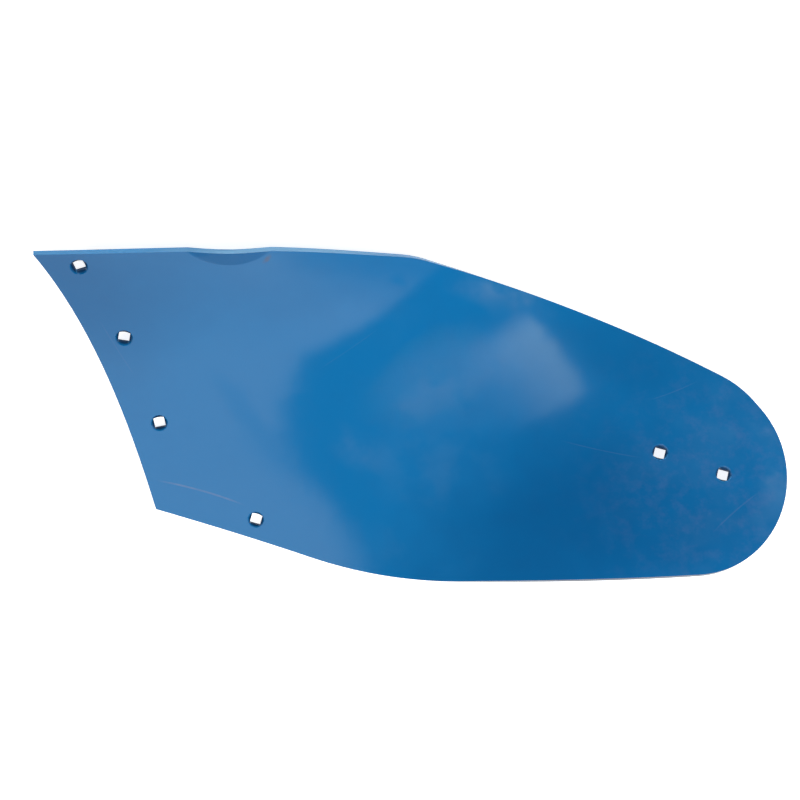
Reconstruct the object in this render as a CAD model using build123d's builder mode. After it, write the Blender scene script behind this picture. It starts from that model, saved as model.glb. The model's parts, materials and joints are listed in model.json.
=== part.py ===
"""Plough mouldboard: one pressed steel plate with a twisted hollow working face,
a pressed lip at its share seam and six square holes for countersunk plough
bolts. Millimetres, +Z up.

The plate is drawn in the frame of the press that forms it: X runs along the
plate from the shin to the wing tip, Y across it from the board's top edge to
the share seam, and Z out of the working face. It is then turned to lie on its
back, as it rests on a floor.
"""
import os
from math import cos, radians, sin, tan

from build123d import *

# Plate
plate_thickness = 8

# Outline, as seen along the press stroke
toe_x, toe_y = -407, 161
seam_crest_x, seam_crest_y = -141, 169
seam_crest_radius = 2570
seam_end_x, seam_end_y = 18.5, 165.5
seam_end_radius = 130
wing_bend_x, wing_bend_y = 221.5, 117
wing_bend_radius = 1440
wing_shoulder_x, wing_shoulder_y = 410.5, 18
wing_corner_x, wing_corner_y = 583.5, -191
wing_tip_radius = 117.5
top_bend_x, top_bend_y = -23.5, -219.5
top_bend_radius = 505
shin_end_x, shin_end_y = -296, -132.5
shin_bow_place = 0.7
shin_bow_depth = 24.5
round_room = 0.97

# Working face, as control sections at even steps from the shin side to the wing
# side. Each has the height of its middle, and the lean of the face there and at
# both of its ends.
trim_margin = 25
section_height = [46, -2, -4, 1, -3, -8]
lean_at_top_edge = [-2, 44, 2, -39, -27, -8]
lean_at_middle = [22, 16, 38, -15, -26, -12]
lean_at_seam = [46, 60, 61, -1, -38, 16]

# Lip pressed up at the seam, as a part of a shallow cone
lip_x = -188
lip_rise = 5.2
lip_depth = 22
lip_radius = 54

# Bolt holes, each with its place and the turn of its square. The two on the shin
# are placed by their share of the way up the shin and their distance from it.
bolt_square = 13
bolt_sink_diameter = 20
toe_hole_x, toe_hole_y, toe_hole_turn = 47, -12, 20
shin_middle_place, shin_middle_inset, shin_middle_turn = 0.637, 49.4, -15
shin_upper_place, shin_upper_inset, shin_upper_turn = 0.303, 45.1, 10
top_front_hole = (-176, -146, -17)
wing_inner_hole = (309.5, -62, -17)
wing_outer_hole = (383.5, -87.5, -16)

# Turns about X and then Y, from the press frame to the plate's rest on the floor
rest_roll = -9.7
rest_pitch = -3.7

# Corners of the outline from the toe round the wing to the shin's upper end, and
# the round at each corner between those two
corners = [
    Vector(toe_x, toe_y),
    Vector(seam_crest_x, seam_crest_y),
    Vector(seam_end_x, seam_end_y),
    Vector(wing_bend_x, wing_bend_y),
    Vector(wing_shoulder_x, wing_shoulder_y),
    Vector(wing_corner_x, wing_corner_y),
    Vector(top_bend_x, top_bend_y),
    Vector(shin_end_x, shin_end_y),
]
rounds = [
    seam_crest_radius,
    seam_end_radius,
    wing_bend_radius,
    wing_tip_radius,
    wing_tip_radius,
    top_bend_radius,
]


def fitting_rounds(corners, rounds, share):
    """Radii, cut back where two rounds would run into each other along a side."""
    sides = [end - start for start, end in zip(corners, corners[1:])]
    turns = [side.get_angle(after) for side, after in zip(sides, sides[1:])]
    reaches = [radius * tan(radians(turn) / 2) for radius, turn in zip(rounds, turns)]
    taken = [before + after for before, after in zip([0] + reaches, reaches + [0])]
    room = [min(1, share * side.length / length) for side, length in zip(sides, taken)]
    return [radius * min(room[i], room[i + 1]) for i, radius in enumerate(rounds)]


shin_end, shin = corners[-1], corners[0] - corners[-1]
shin_inward = Vector(shin.Y, -shin.X).normalized()


def shin_point(place, inset):
    """Place by its share of the way along the shin's chord and its distance from it."""
    return shin_end + shin * place + shin_inward * inset


shin_bow = shin_point(shin_bow_place, shin_bow_depth)

with BuildSketch() as outline:
    with BuildLine():
        FilletPolyline(*corners, radius=fitting_rounds(corners, rounds, round_room))
        Bezier(shin_end, shin_bow, corners[0])
    make_face()

# The sheet reaches past the outline on every side
reach = outline.sketch.bounding_box()
sheet_start = reach.min.X - trim_margin
sheet_length = reach.size.X + 2 * trim_margin
sheet_half_width = max(reach.max.Y, -reach.min.Y) + trim_margin


def control_column(index):
    """Control points of a cubic arc across the sheet at one control section."""
    x = sheet_start + sheet_length * index / (len(section_height) - 1)
    low = tan(radians(lean_at_top_edge[index]))
    middle = tan(radians(lean_at_middle[index]))
    high = tan(radians(lean_at_seam[index]))
    step = 2 * sheet_half_width / 3
    rises = [step * low, step * (4 * middle - low - high) / 2, step * high]
    start = section_height[index] - (7 * rises[0] + 4 * rises[1] + rises[2]) / 8
    heights = [start, start + rises[0], start + rises[0] + rises[1], start + sum(rises)]
    return [(x, step * i - sheet_half_width, height) for i, height in enumerate(heights)]


# The whole pressed sheet, and the part of it inside the outline
sheet = Face.make_bezier_surface([control_column(i) for i in range(len(section_height))])
stroke_start = Plane.XY.offset(sheet.bounding_box().max.Z + trim_margin)
raised_outline = stroke_start.from_local_coords(outline.sketch.face())
working_face = raised_outline.project_to_shape(sheet, -Axis.Z.direction)[0]


def face_plane(x, y, turn):
    """Plane on the working face at a place in the outline, with Z out of the face."""
    stroke = Axis((x, y, stroke_start.origin.Z), -Axis.Z.direction)
    centre, normal = sheet.find_intersection_points(stroke)[0]
    side = (cos(radians(turn)), sin(radians(turn)), 0)
    return Plane(origin=centre, x_dir=side, z_dir=normal)


# The lip's cone stands on the plane of the face at the seam, with its axis
# beyond the seam, and runs a little above the lip and below that plane
seam_slope = (seam_crest_y - toe_y) / (seam_crest_x - toe_x)
lip_plane = face_plane(lip_x, toe_y + seam_slope * (lip_x - toe_x), 0)
lip_axis = lip_plane.from_local_coords((0, lip_radius - lip_depth, 0))
lip_slope = lip_rise / lip_depth
lip_over, lip_under = 1.4 * lip_rise, 0.5 * lip_rise


def lip_cone(drop, mode):
    """The lip's cone, dropped into the plate by some depth."""
    with Locations(Plane(lip_axis, lip_plane.x_dir, lip_plane.z_dir).offset(-drop - lip_under)):
        Cone(
            bottom_radius=lip_radius + lip_under / lip_slope,
            top_radius=lip_radius - lip_over / lip_slope,
            height=lip_under + lip_over,
            align=(Align.CENTER, Align.CENTER, Align.MIN),
            mode=mode,
        )


with BuildPart() as lip:
    thicken(working_face, amount=lip_over, normal_override=(0, 0, 1))
    lip_cone(0, Mode.INTERSECT)

shin_middle_hole = shin_point(shin_middle_place, shin_middle_inset)
shin_upper_hole = shin_point(shin_upper_place, shin_upper_inset)
hole_planes = [
    face_plane(*hole)
    for hole in (
        (toe_x + toe_hole_x, toe_y + toe_hole_y, toe_hole_turn),
        (shin_middle_hole.X, shin_middle_hole.Y, shin_middle_turn),
        (shin_upper_hole.X, shin_upper_hole.Y, shin_upper_turn),
        top_front_hole,
        wing_inner_hole,
        wing_outer_hole,
    )
]

# The sink is a 90 degree cone, cut from just above the working face
sink_radius = bolt_sink_diameter / 2
cut_clearance = 1

with BuildPart() as mouldboard:
    thicken(working_face, amount=plate_thickness, normal_override=(0, 0, -1))
    lip_cone(plate_thickness, Mode.SUBTRACT)
    add(lip.part)
    with Locations(*[plane.offset(cut_clearance) for plane in hole_planes]):
        Cone(
            bottom_radius=bolt_square / 2,
            top_radius=sink_radius + cut_clearance,
            height=sink_radius + cut_clearance - bolt_square / 2,
            align=(Align.CENTER, Align.CENTER, Align.MAX),
            mode=Mode.SUBTRACT,
        )
    with BuildSketch(*hole_planes):
        Rectangle(bolt_square, bolt_square)
    extrude(amount=2 * plate_thickness, both=True, mode=Mode.SUBTRACT)

# Lay the plate down on its back, with its origin under the middle of it
turned = mouldboard.part.rotate(Axis.X, rest_roll).rotate(Axis.Y, rest_pitch)
skin_points = turned.tessellate(tolerance=0.05)[0]
low = Vector(*[min(point[i] for point in map(tuple, skin_points)) for i in range(3)])
high = Vector(*[max(point[i] for point in map(tuple, skin_points)) for i in range(3)])
rest_shift = Vector(-(low.X + high.X) / 2, -(low.Y + high.Y) / 2, -low.Z)
resting = turned.moved(Location(rest_shift))
resting.label = "mouldboard"

os.makedirs("parts", exist_ok=True)
export_step(resting, "parts/mouldboard.step")
print("volume", round(resting.volume), "size", high - low, "moved by", rest_shift)
print("one valid solid", resting.is_valid and len(resting.solids()) == 1)
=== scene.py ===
import json
from math import pi, radians

import bmesh
import bpy
from mathutils import Matrix, Vector

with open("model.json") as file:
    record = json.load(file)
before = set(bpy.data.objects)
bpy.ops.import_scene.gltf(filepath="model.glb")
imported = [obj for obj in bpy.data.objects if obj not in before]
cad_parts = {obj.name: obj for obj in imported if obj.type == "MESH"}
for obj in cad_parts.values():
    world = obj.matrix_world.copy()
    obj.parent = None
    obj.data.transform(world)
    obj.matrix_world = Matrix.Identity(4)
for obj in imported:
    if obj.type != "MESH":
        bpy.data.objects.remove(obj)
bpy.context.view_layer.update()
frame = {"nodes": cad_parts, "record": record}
plate = frame["nodes"]["mouldboard"]
scene = bpy.context.scene
scene.view_settings.view_transform = "Standard"
white = (1, 1, 1, 1)
print("frame loaded")

# The frame of the press that formed the plate, as the plate lies on the floor:
# X from the shin to the wing tip, Y up to the share seam, Z out of the working face
pressSettings = {
    "shift": (-0.0218675, 0.0125868, 0.0291233),
    "turn": (radians(-9.7), radians(-3.7), 0),
}
pressFrame = (
    Matrix.Translation(pressSettings["shift"])
    @ Matrix.Rotation(pressSettings["turn"][1], 4, "Y")
    @ Matrix.Rotation(pressSettings["turn"][0], 4, "X")
)
pressUp = tuple(pressFrame.col[1].to_3d())
pressOut = tuple(pressFrame.col[2].to_3d())

# Camera straight over the middle of the press frame
cameraSettings = {"height": 1.8, "lens": 67.5, "sensor": 36}
cameraData = bpy.data.cameras.new("overheadCamera")
cameraData.lens = cameraSettings["lens"]
cameraData.sensor_width = cameraSettings["sensor"]
camera = bpy.data.objects.new("overheadCamera", cameraData)
scene.collection.objects.link(camera)
camera.matrix_world = pressFrame @ Matrix.Translation((0, 0, cameraSettings["height"]))
scene.camera = camera
print("camera placed")


# A Wire is one socket of a node tree, and arithmetic on it adds Math nodes
class Wire:
    def __init__(self, tree, socket=None):
        self.tree = tree
        self.socket = socket

    def node(self, kind, settings=None, sockets=None, output=0):
        made = self.tree.nodes.new(kind)
        for name, value in (settings or {}).items():
            setattr(made, name, value)
        for name, value in (sockets or {}).items():
            if isinstance(value, Wire):
                self.tree.links.new(value.socket, made.inputs[name])
            else:
                made.inputs[name].default_value = value
        return Wire(self.tree, made.outputs[output] if made.outputs else None)

    def maths(self, operation, first, second=0.0, third=0.0):
        values = {0: first, 1: second, 2: third}
        return self.node("ShaderNodeMath", {"operation": operation}, values)

    def __add__(self, other):
        return self.maths("ADD", self, other)

    def __sub__(self, other):
        return self.maths("SUBTRACT", self, other)

    def __rsub__(self, other):
        return self.maths("SUBTRACT", other, self)

    def __mul__(self, other):
        return self.maths("MULTIPLY", self, other)

    def __truediv__(self, other):
        return self.maths("DIVIDE", self, other)

    def __rtruediv__(self, other):
        return self.maths("DIVIDE", other, self)

    __radd__ = __add__
    __rmul__ = __mul__

    def larger(self, other):
        return self.maths("MAXIMUM", self, other)

    def softSmaller(self, other, reach):
        return self.maths("SMOOTH_MIN", self, other, reach)

    def absolute(self):
        return self.maths("ABSOLUTE", self)

    # 0 below low and 1 above high, with a smooth step between them
    def rise(self, low, high):
        ranges = {"Value": self, "From Min": low, "From Max": high}
        return self.node("ShaderNodeMapRange", {"interpolation_type": "SMOOTHSTEP"}, ranges)

    # two colours mixed, with this as the share of the second one
    def blend(self, first, second):
        colours = {0: self, 6: first, 7: second}
        return self.node("ShaderNodeMix", {"data_type": "RGBA"}, colours, output=2)

    # this place, as measured in a frame with that shift, turn and unit lengths
    def placeIn(self, shift=(0, 0, 0), turn=(0, 0, 0), units=(1, 1, 1)):
        mapping = {"Vector": self, "Location": shift, "Rotation": turn, "Scale": units}
        return self.node("ShaderNodeMapping", {"vector_type": "TEXTURE"}, mapping)

    def vectorMaths(self, operation, values, output=0):
        return self.node("ShaderNodeVectorMath", {"operation": operation}, values, output)

    def parts(self):
        split = self.tree.nodes.new("ShaderNodeSeparateXYZ")
        self.tree.links.new(self.socket, split.inputs[0])
        return [Wire(self.tree, socket) for socket in split.outputs]


# Room: dark overhead and pale round the horizon, with one hazy roof light. It is
# drawn off the press frame, and the camera sees it white.
roomSettings = {
    "dark": 0.06,
    "horizon": 0.9,
    "horizonHeight": (0.22, 0.42),  # the pale ring thins out between these heights
    "horizonSide": (-0.35, 0.0),  # and it comes in toward the share seam's side
    "roofLight": 2.35,
    "roofColour": (0.96, 1, 0.80, 1),
    "roofLowest": 0.05,
    # sides of the roof light: the slope, and where the soft step starts and ends
    "roofRight": (1.125, 0.60, 0.645),
    "roofLow": (-0.84, 0.19, 0.30),
    "roofLeft": (-0.761, -0.62, -0.30),
    # the light fades toward the shin along this slope
    "roofFadeSlope": 0.5,
    "roofFade": (0.0, 0.5),
}
world = bpy.data.worlds.new("room")
world.use_nodes = True
world.node_tree.nodes.clear()
room = Wire(world.node_tree)
aim = room.node("ShaderNodeTexCoord", output="Generated").placeIn(turn=pressSettings["turn"])
aimX, aimY, aimZ = aim.parts()
aimUp = aimZ.larger(roomSettings["roofLowest"])
across, along = aimX / aimUp, aimY / aimUp


def pastRoofSide(slope, low, high):
    return (along + across * slope).rise(low, high)


roofFade = across + along * roomSettings["roofFadeSlope"]
roof = (
    (1 - pastRoofSide(*roomSettings["roofRight"]))
    * (1 - pastRoofSide(*roomSettings["roofLow"]))
    * pastRoofSide(*roomSettings["roofLeft"])
    * roofFade.rise(*roomSettings["roofFade"])
)
horizon = 1 - aimZ.rise(*roomSettings["horizonHeight"])
horizon = horizon * aimY.rise(*roomSettings["horizonSide"])
level = (
    roomSettings["dark"]
    + roof * roomSettings["roofLight"]
    + horizon * (roomSettings["horizon"] - roomSettings["dark"])
)
seen = room.node("ShaderNodeLightPath", output="Is Camera Ray")
roofTint = (roof * (1 - seen)).blend(white, roomSettings["roofColour"])
background = room.node(
    "ShaderNodeBackground", {}, {"Color": roofTint, "Strength": seen + (1 - seen) * level}
)
room.node("ShaderNodeOutputWorld", {}, {"Surface": background})
scene.world = world
print("room lit")

# Wall light: a long low panel past the board's top edge, which shows only in the
# gloss. Its near edge bends at a knee, and places on it are in the press frame.
wallSettings = {
    "height": 0.8,
    "near": -0.24,
    "length": 6.0,
    "width": 6.4,
    "radiance": 1.45,
    "colour": (1, 0.97, 0.84, 1),
    "soft": 0.05,
    "knee": (-0.194, -0.470),
    "kneeRound": 0.24,
    "outerSlope": -0.84,
    "innerSlope": -1.86,
    "farLevel": -0.827,
    "farSlope": 0.18,
    # it is dimmer toward the wing, and fades out toward the share seam
    "wingFade": (0.3, 0.85),
    "wingLoss": 0.75,
    "seamFade": (-0.44, -0.20),
}
wallData = bpy.data.lights.new("wallLight", "AREA")
wallData.shape = "RECTANGLE"
wallData.size = wallSettings["width"]
wallData.size_y = wallSettings["length"]
wallData.energy = wallSettings["radiance"] * pi * wallSettings["width"] * wallSettings["length"]
wallData.use_nodes = True
wallData.node_tree.nodes.clear()
panel = Wire(wallData.node_tree)
spot = panel.node("ShaderNodeNewGeometry", output="Position")
spotX, spotY, _ = spot.placeIn(pressSettings["shift"], pressSettings["turn"]).parts()
fromKnee = spotX - wallSettings["knee"][0]
outer = wallSettings["knee"][1] + wallSettings["outerSlope"] * fromKnee
inner = wallSettings["knee"][1] + wallSettings["innerSlope"] * fromKnee
far = wallSettings["farLevel"] + wallSettings["farSlope"] * spotX
nearEdge = outer.softSmaller(inner, wallSettings["kneeRound"]).larger(far)
lit = (nearEdge - spotY).rise(-wallSettings["soft"], wallSettings["soft"])
lit = lit * (1 - spotX.rise(*wallSettings["wingFade"]) * wallSettings["wingLoss"])
lit = lit * (1 - spotY.rise(*wallSettings["seamFade"]))
glowing = panel.node("ShaderNodeEmission", {}, {"Color": wallSettings["colour"], "Strength": lit})
panel.node("ShaderNodeOutputLight", {}, {"Surface": glowing})
wall = bpy.data.objects.new("wallLight", wallData)
scene.collection.objects.link(wall)
wallPlace = (0, wallSettings["near"] - wallSettings["length"] / 2, wallSettings["height"])
wall.matrix_world = pressFrame @ Matrix.Translation(wallPlace)
wall.visible_camera = False
wall.visible_diffuse = False
print("wall light hung")

# Overhead lamp, which lights the paint's own colour and stays out of the gloss. It
# is placed in the press frame and faces its middle.
lampSettings = {"place": (0.5, -0.73, 2.45), "size": 1.2, "watts": 62}
lampData = bpy.data.lights.new("overheadLamp", "AREA")
lampData.shape = "DISK"
lampData.size = lampSettings["size"]
lampData.energy = lampSettings["watts"]
lamp = bpy.data.objects.new("overheadLamp", lampData)
scene.collection.objects.link(lamp)
lampPlace = Vector(lampSettings["place"])
lampTurn = lampPlace.to_track_quat("Z", "Y").to_matrix().to_4x4()
lamp.matrix_world = pressFrame @ Matrix.Translation(lampPlace) @ lampTurn
lamp.visible_camera = False
lamp.visible_glossy = False
print("lamp hung")

# Floor, which glows pale to the camera
floorSettings = {
    "size": 12.0,
    "drop": 0.0005,
    "colour": (0.8, 0.8, 0.8, 1),
    "roughness": 0.9,
    "gloss": 0.1,
    "glow": (0.85, 0.85, 0.85, 1),
    "bounce": (0.12, 0.12, 0.12, 1),  # its glow on the plate
    "mirrored": 0.25,  # share of the glow that shows in the plate's gloss
}
floorMesh = bpy.data.meshes.new("floor")
builder = bmesh.new()
bmesh.ops.create_grid(builder, x_segments=1, y_segments=1, size=floorSettings["size"] / 2)
bmesh.ops.translate(builder, verts=builder.verts, vec=(0, 0, -floorSettings["drop"]))
builder.to_mesh(floorMesh)
builder.free()
floor = bpy.data.objects.new("floor", floorMesh)
scene.collection.objects.link(floor)
floorPaint = bpy.data.materials.new("paleFloor")
floorPaint.use_nodes = True
floorPaint.node_tree.nodes.clear()
matt = Wire(floorPaint.node_tree)
floorSeen = matt.node("ShaderNodeLightPath", output="Is Camera Ray")
inGloss = matt.node("ShaderNodeLightPath", output="Is Glossy Ray")
inGlass = matt.node("ShaderNodeLightPath", output="Is Transmission Ray")
floorSeen = floorSeen + inGloss.larger(inGlass) * floorSettings["mirrored"]
floorShader = matt.node(
    "ShaderNodeBsdfPrincipled",
    {},
    {
        "Base Color": floorSettings["colour"],
        "Roughness": floorSettings["roughness"],
        "Specular IOR Level": floorSettings["gloss"],
        "Emission Color": floorSeen.blend(floorSettings["bounce"], floorSettings["glow"]),
        "Emission Strength": 1.0,
    },
)
# from below it is clear, so that the back of the plate can be seen
fromBelow = matt.node("ShaderNodeNewGeometry", output="Backfacing")
clear = matt.node("ShaderNodeBsdfTransparent")
floorShader = matt.node("ShaderNodeMixShader", {}, {0: fromBelow, 1: floorShader, 2: clear})
matt.node("ShaderNodeOutputMaterial", {}, {"Surface": floorShader})
floorMesh.materials.append(floorPaint)
print("floor laid")

# Blue enamel. Places in it are in the press frame, where x and y alone count.
enamelSettings = {
    "colour": (0.004, 0.172, 0.445, 1),
    # deeper blue, used for painted shade and for a random deeper tone
    "deepToneAndShade": (0.001, 0.098, 0.285, 1),
    "dustAndReflection": (0.46, 0.56, 0.62, 1),
    "pink": (0.32, 0.20, 0.36, 1),
    "rubColour": (0.50, 0.36, 0.38, 1),
    "scuffColour": (0.10, 0.09, 0.11, 1),
    # painted highlight: the seam's cut edge made lighter, and paler still in its middle
    "edge": (0.07, 0.40, 0.86, 1),
    "edgeHighlight": (0.35, 0.66, 0.92, 1),
    "shade": (0.001, 0.020, 0.070, 1),
    # noises, each with its scale, detail and roughness
    "broadCloud": (5.0, 2.0, 0.5),
    "fineCloud": (34.0, 3.0, 0.6),
    "wisps": (15.0, 3.0, 0.55),
    "wispsShift": (0.3, 0.1, 0.7),
    "patches": (48.0, 3.0, 0.7),
    "grain": (160.0, 2.0, 0.65),
    "waves": (9.0, 2.0, 0.5),
    "peel": (600.0, 1.0, 0.5),
    # soft spots, each with its middle, its reach, its turn in degrees and its strength
    "spotFade": (0.15, 1.15),
    "wobble": {"amount": 0.09, "scale": 9.0, "detail": 2.0},
    # painted shade: places made darker where less light falls, such as the toe corner and the
    # lower middle
    "paintedShadeSpots": [
        ((0.185, -0.170), (0.245, 0.155), 20, 0.680),
        ((0.330, -0.030), (0.345, 0.270), 0, 0.384),
        ((0.260, 0.060), (0.120, 0.055), -18, 0.176),
        ((0.400, -0.175), (0.130, 0.085), 10, 0.272),
        ((-0.420, 0.150), (0.210, 0.150), -40, 0.576),
        ((-0.210, 0.135), (0.270, 0.060), -2, 0.192),
    ],
    # painted reflections: pale spots of reflected light, laid on as a grey film
    "reflectionSpots": [
        ((0.070, 0.032), (0.130, 0.050), 28, 0.30),
        ((0.020, -0.004), (0.075, 0.032), 12, 0.26),
        ((0.095, -0.014), (0.060, 0.028), 5, 0.24),
        ((-0.048, -0.055), (0.052, 0.026), -24, 0.62),
        ((0.000, 0.090), (0.060, 0.022), 25, 0.14),
        ((0.045, -0.080), (0.100, 0.070), 10, 0.42),
        ((0.010, -0.170), (0.080, 0.060), 0, 0.24),
        ((0.390, -0.090), (0.160, 0.170), 0, 0.24),
        ((0.126, 0.125), (0.062, 0.028), -20, 1.90),
        ((0.452, -0.055), (0.050, 0.090), 0, 1.10),
        ((0.400, -0.165), (0.100, 0.050), 25, 0.25),
        ((0.415, -0.020), (0.080, 0.040), -35, 0.32),
    ],
    "mottleSpots": [((0.40, -0.09), (0.22, 0.22), 0, 0.055)],
    "scuffSpots": [((-0.152, 0.1680), (0.008, 0.0035), 30, 0.9)],
    "dullSpots": [
        ((-0.196, -0.012), (0.045, 0.020), -65, 0.216),
        ((-0.178, -0.050), (0.050, 0.024), -55, 0.108),
        ((0.008, 0.148), (0.014, 0.010), 0, 0.450),
        ((-0.300, 0.120), (0.300, 0.070), -5, 0.144),
        ((-0.060, 0.135), (0.090, 0.045), -10, 0.135),
    ],
    # rubs, each with its middle, turn, half length, half width, bend and strength
    "rubs": [
        ((-0.241, -0.110), -16.5, 0.058, 0.0016, -0.9, 0.13),
        ((0.330, 0.010), 21, 0.034, 0.0010, 1.5, 0.03),
        ((0.240, -0.060), -12, 0.052, 0.0010, 0.6, 0.03),
        ((0.395, -0.130), 38, 0.040, 0.0012, -1.2, 0.04),
        ((-0.060, 0.060), 34, 0.046, 0.0010, 0.5, 0.02),
        ((-0.330, 0.060), -62, 0.036, 0.0010, 0.8, 0.03),
    ],
    "rubCore": 0.3,  # share of a rub's width that is solid
    "rubMiddle": 0.5,  # and of its length
    "rubLeast": 0.4,
    "rubGrain": 1.2,
    "deepCloud": 0.25,
    # film of dust with painted reflections in it: its strength, and what it takes from each noise
    "dustAndReflectionStrength": 0.055,
    "reflectionLeast": 0.25,
    "reflectionWisps": 1.15,
    "wispEdge": (0.42, 0.62),
    "dustCloudFrom": 0.42,
    "dustCloud": 0.10,
    "dustGrain": 0.06,
    "patchEdge": (0.42, 0.72),
    # cut edges, found by how far they face out of the face and toward the seam
    "cutFacing": (0.47, 0.53),
    "cutSeamward": 0.3,
    # the seam's cut edge is painted lighter as a highlight, and the other cut edges darker as
    # shade
    "seamEdgeFacing": (0.3, 0.6),
    "seamHighlightStrength": 0.9,
    "topEdgeFacing": (0.5, 0.8),
    "topEdgeStrength": 0.7,
    "edgeHighlightX": -0.145,
    "edgeHighlightReach": (0.05, 0.16),
    "edgeHighlightStrength": 0.5,
    # the pressed lip, painted darker as shade, with less clear coat
    "lipMiddle": (-0.193, 0.1965),
    "lipReach": (0.060, 0.0450),
    "lipEdge": (0.95, 1.0),
    "lipShade": 0.35,
    "holeRadius": 0.0101,
    "holeEdge": (0.75, 1.0),
    "holeStrength": 0.9,
    # gloss: a clear coat over a softer one, and what takes some of the coat away
    "gloss": 0.25,
    "coat": 0.55,
    "coatCloud": 0.15,
    "coatLipLoss": 0.9,
    "coatHoleLoss": 0.9,
    "coatEdgeLoss": 0.5,
    "coatRoughness": 0.09,
    "coatIndex": 1.5,
    "roughness": 0.08,
    "roughnessCloud": 0.10,
    "roughnessHole": 0.4,
    "waveHeight": 0.0005,
    "peelHeight": 0.000008,
}
noiseMiddle = 0.5
throughPlate = 1000.0  # reach of a spot along the press stroke
enamel = bpy.data.materials.new("blueEnamel")
enamel.use_nodes = True
enamel.node_tree.nodes.clear()
paint = Wire(enamel.node_tree)
objectPlace = paint.node("ShaderNodeTexCoord", output="Object")
place = objectPlace.placeIn(pressSettings["shift"], pressSettings["turn"])


def cloudiness(kind, shift=(0, 0, 0)):
    scale, detail, rough = enamelSettings[kind]
    moved = paint.node("ShaderNodeMapping", {}, {"Vector": place, "Location": shift})
    values = {"Vector": moved, "Scale": scale, "Detail": detail, "Roughness": rough}
    return paint.node("ShaderNodeTexNoise", {"noise_dimensions": "3D"}, values)


# the place, pushed about so that soft spots get cloudy outlines
def wobbled(amount, scale, detail):
    values = {"Vector": place, "Scale": scale, "Detail": detail}
    push = paint.node("ShaderNodeTexNoise", {}, values, output="Color")
    scaled = {0: push, 1: (amount, amount, 0), 2: (-amount / 2, -amount / 2, 0)}
    push = paint.vectorMaths("MULTIPLY_ADD", scaled)
    return paint.vectorMaths("ADD", {0: place, 1: push})


cloudyPlace = wobbled(**enamelSettings["wobble"])


# distance from the middle of a flat ellipse, which is 1 at its edge
def ellipse(start, middle, reach, turn=0):
    away = start.placeIn((*middle, 0), (0, 0, radians(turn)), (*reach, throughPlate))
    return paint.vectorMaths("LENGTH", {0: away}, output="Value")


def softSpot(middle, reach, turn, strength):
    away = ellipse(cloudyPlace, middle, reach, turn)
    return (1 - away.rise(*enamelSettings["spotFade"])) * strength


def softSpots(kind):
    return sum(softSpot(*spot) for spot in enamelSettings[kind])


# thin, slightly bent streak
def rubMark(middle, turn, half, thick, bend, strength):
    lengthwise, sideways, _ = place.placeIn((*middle, 0), (0, 0, radians(turn))).parts()
    offLine = (sideways - lengthwise * lengthwise * bend).absolute()
    offLine = offLine.rise(thick * enamelSettings["rubCore"], thick)
    offEnd = lengthwise.absolute().rise(half * enamelSettings["rubMiddle"], half)
    return (1 - offLine) * (1 - offEnd) * strength


broadCloud = cloudiness("broadCloud")
fineCloud = cloudiness("fineCloud")
wisps = cloudiness("wisps", enamelSettings["wispsShift"])
patches = cloudiness("patches")
grain = cloudiness("grain")

# paint colour: painted shade in spots, with a random deeper tone, and over it a film of dust with
# painted reflections in it
shadeAndTone = softSpots("paintedShadeSpots") + (fineCloud - noiseMiddle) * enamelSettings["deepCloud"]
colour = shadeAndTone.blend(enamelSettings["colour"], enamelSettings["deepToneAndShade"])
# painted reflections in soft wispy spots, with a real film of dust from the noises
wispy = wisps.rise(*enamelSettings["wispEdge"]) * enamelSettings["reflectionWisps"]
dustAndReflection = (
    softSpots("reflectionSpots") * (enamelSettings["reflectionLeast"] + wispy)
    + (fineCloud - enamelSettings["dustCloudFrom"]).larger(0) * enamelSettings["dustCloud"]
    + (grain - noiseMiddle).larger(0) * enamelSettings["dustGrain"]
)
colour = (dustAndReflection * enamelSettings["dustAndReflectionStrength"]).blend(colour, enamelSettings["dustAndReflection"])
mottle = softSpots("mottleSpots") * patches.rise(*enamelSettings["patchEdge"])
colour = mottle.blend(colour, enamelSettings["pink"])
rubbed = sum(rubMark(*rub) for rub in enamelSettings["rubs"])
rubbed = rubbed * (enamelSettings["rubLeast"] + grain * enamelSettings["rubGrain"])
colour = rubbed.blend(colour, enamelSettings["rubColour"])

# cut edges stand square to the working face
normal = paint.node("ShaderNodeTexCoord", output="Normal")
outward = paint.vectorMaths("DOT_PRODUCT", {0: normal, 1: pressOut}, output="Value")
seamward = paint.vectorMaths("DOT_PRODUCT", {0: normal, 1: pressUp}, output="Value")
facing = outward.absolute() - seamward.larger(0) * enamelSettings["cutSeamward"]
cutEdge = 1 - facing.rise(*enamelSettings["cutFacing"])
seamEdge = cutEdge * seamward.rise(*enamelSettings["seamEdgeFacing"])
topEdge = cutEdge * (0 - seamward).rise(*enamelSettings["topEdgeFacing"])
# painted highlight on the seam's cut edge, and a paler one in its middle
colour = (seamEdge * enamelSettings["seamHighlightStrength"]).blend(colour, enamelSettings["edge"])
placeX, _, _ = place.parts()
fromPale = (placeX - enamelSettings["edgeHighlightX"]).absolute()
edgeHighlight = seamEdge * (1 - fromPale.rise(*enamelSettings["edgeHighlightReach"]))
colour = (edgeHighlight * enamelSettings["edgeHighlightStrength"]).blend(colour, enamelSettings["edgeHighlight"])
colour = (topEdge * enamelSettings["topEdgeStrength"]).blend(colour, enamelSettings["shade"])
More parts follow.
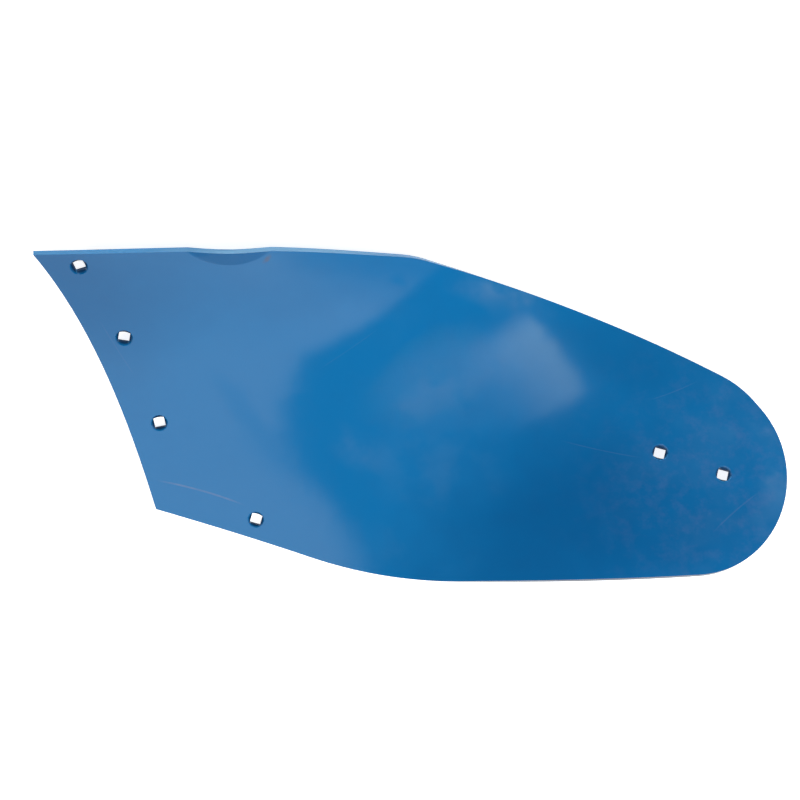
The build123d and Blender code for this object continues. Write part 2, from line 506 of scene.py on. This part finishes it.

# the pressed lip, painted darker as shade, and the scuff at its end
fromLip = ellipse(place, enamelSettings["lipMiddle"], enamelSettings["lipReach"])
lip = (1 - fromLip.rise(*enamelSettings["lipEdge"])) * (1 - cutEdge)
colour = (lip * enamelSettings["lipShade"]).blend(colour, enamelSettings["deepToneAndShade"])
colour = (softSpots("scuffSpots") * grain).blend(colour, enamelSettings["scuffColour"])


# shade inside a bolt hole, round the hole's own axis
def holeShade(mount):
    tilt = Vector((0, 0, 1)).rotation_difference(Vector(mount["axis"])).to_euler()
    awayX, awayY, _ = objectPlace.placeIn(mount["pos_m"], tilt).parts()
    away = paint.maths("SQRT", awayX * awayX + awayY * awayY) / enamelSettings["holeRadius"]
    return 1 - away.rise(*enamelSettings["holeEdge"])


inHole = sum(holeShade(mount) for mount in frame["record"]["mounts"])
colour = (inHole * enamelSettings["holeStrength"]).blend(colour, enamelSettings["shade"])

coat = enamelSettings["coat"] - softSpots("dullSpots")
coat = coat - (broadCloud - noiseMiddle) * enamelSettings["coatCloud"]
coat = (
    coat
    * (1 - lip * enamelSettings["coatLipLoss"])
    * (1 - inHole * enamelSettings["coatHoleLoss"])
    * (1 - cutEdge * enamelSettings["coatEdgeLoss"])
)
roughness = (
    enamelSettings["roughness"]
    + fineCloud * enamelSettings["roughnessCloud"]
    + inHole * enamelSettings["roughnessHole"]
)
waves = (
    cloudiness("waves") * enamelSettings["waveHeight"]
    + cloudiness("peel") * enamelSettings["peelHeight"]
)
bumped = paint.node("ShaderNodeBump", {}, {"Height": waves, "Strength": 1.0, "Distance": 1.0})
paintShader = paint.node(
    "ShaderNodeBsdfPrincipled",
    {},
    {
        "Base Color": colour,
        "Roughness": roughness,
        "Specular IOR Level": enamelSettings["gloss"],
        "Coat Weight": coat,
        "Coat Roughness": enamelSettings["coatRoughness"],
        "Coat IOR": enamelSettings["coatIndex"],
        "Normal": bumped,
    },
)
paint.node("ShaderNodeOutputMaterial", {}, {"Surface": paintShader})
plate.data.materials.clear()
plate.data.materials.append(enamel)
print("plate painted")
